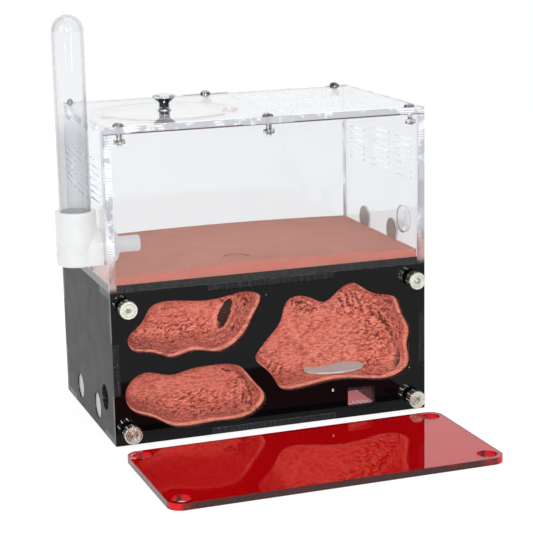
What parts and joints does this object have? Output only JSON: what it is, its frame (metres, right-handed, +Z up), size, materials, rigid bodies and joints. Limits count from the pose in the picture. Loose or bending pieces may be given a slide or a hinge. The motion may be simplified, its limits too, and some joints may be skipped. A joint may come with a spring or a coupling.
{
  "type": "ant habitat",
  "caption": "Black acrylic ant nest with carved plaster chambers, a clear vented arena on top, a test tube drinker on its side and a loose red viewing cover.",
  "frame": {"origin": "centre of the nest's underside, on the surface that it stands on", "axes": "+X to the right, +Y to the rear, +Z up; the nest front with its thumb screws faces -Y"},
  "size_m": [0.1689, 0.1846, 0.1904],
  "materials": {
    "black_acrylic": "polished black sheet, laser-cut edges",
    "clear_acrylic": "polished clear sheet",
    "smoked_acrylic": "glossy dark sheet",
    "red_acrylic": "polished transparent red sheet",
    "plaster": "matte cast plaster, carved by hand",
    "steel_mesh": "fine woven mesh",
    "magnet_nickel": "satin nickel plate",
    "brass_insert": "turned",
    "screw_nickel": "turned and knurled, nickel plated",
    "bolt_steel": "plain steel",
    "knob_chrome": "polished chrome",
    "white_resin": "smooth white moulding",
    "clear_glass": "polished laboratory glass"
  },
  "bodies": {
    "nest": {"nest_floor": "black_acrylic", "nest_top": "black_acrylic", "nest_left_wall": "black_acrylic", "nest_right_wall": "black_acrylic", "nest_rear_wall": "black_acrylic", "arena_floor": "black_acrylic", "corner_blocks": "clear_acrylic", "arena_front_pane": "clear_acrylic", "arena_rear_pane": "clear_acrylic", "arena_left_pane": "clear_acrylic", "arena_right_pane": "clear_acrylic", "arena_lid": "clear_acrylic", "lid_seat_ring": "clear_acrylic", "port_bushing": "clear_acrylic", "water_tray": "smoked_acrylic", "nest_plaster": "plaster", "arena_slab": "plaster", "moisture_mesh": "steel_mesh", "nest_magnets": "magnet_nickel", "arena_magnets": "magnet_nickel", "thread_inserts": "brass_insert", "lid_bolts": "bolt_steel", "lid_nuts": "bolt_steel", "tube_connector": "white_resin", "flange_nut": "white_resin", "connector_pipe": "white_resin"},
    "front_panel": {"nest_front": "black_acrylic", "nest_window": "clear_acrylic"},
    "round_lid": {"round_lid": "clear_acrylic", "lid_knob": "knob_chrome", "knob_screw": "bolt_steel"},
    "drinker_tube": {"test_tube": "clear_glass"},
    "entrance_plug": {"entrance_plug": "plaster"},
    "red_cover": {"red_cover": "red_acrylic"},
    "thumb_screw_upper_left": {"thumb_screw_upper_left": "screw_nickel"},
    "thumb_screw_upper_right": {"thumb_screw_upper_right": "screw_nickel"},
    "thumb_screw_lower_left": {"thumb_screw_lower_left": "screw_nickel"},
    "thumb_screw_lower_right": {"thumb_screw_lower_right": "screw_nickel"}
  },
  "joints": [
    {"name": "front_panel_off", "type": "slide", "parent": "nest", "child": "front_panel", "axis": [0, -1, 0], "range_m": [0, 0.007]},
    {"name": "round_lid_lift", "type": "slide", "parent": "nest", "child": "round_lid", "axis": [0, 0, 1], "range_m": [0, 0.045]},
    {"name": "tube_lift", "type": "slide", "parent": "nest", "child": "drinker_tube", "axis": [0, 0, 1], "range_m": [0, 0.04]},
    {"name": "entrance_plug_lift", "type": "slide", "parent": "nest", "child": "entrance_plug", "axis": [0, 0, 1], "range_m": [0, 0.03]},
    {"name": "red_cover_lift", "type": "slide", "parent": "nest", "child": "red_cover", "axis": [0, 0, 1], "range_m": [0, 0.06]},
    {"name": "thumb_screw_upper_left_turn", "type": "hinge", "parent": "front_panel", "child": "thumb_screw_upper_left", "pos_m": [-0.0685, -0.048, 0.0635], "axis": [0, -1, 0], "continuous": true},
    {"name": "thumb_screw_upper_right_turn", "type": "hinge", "parent": "front_panel", "child": "thumb_screw_upper_right", "pos_m": [0.0685, -0.048, 0.0635], "axis": [0, -1, 0], "continuous": true},
    {"name": "thumb_screw_lower_left_turn", "type": "hinge", "parent": "front_panel", "child": "thumb_screw_lower_left", "pos_m": [-0.0685, -0.048, 0.0065], "axis": [0, -1, 0], "continuous": true},
    {"name": "thumb_screw_lower_right_turn", "type": "hinge", "parent": "front_panel", "child": "thumb_screw_lower_right", "pos_m": [0.0685, -0.048, 0.0065], "axis": [0, -1, 0], "continuous": true}
  ]
}
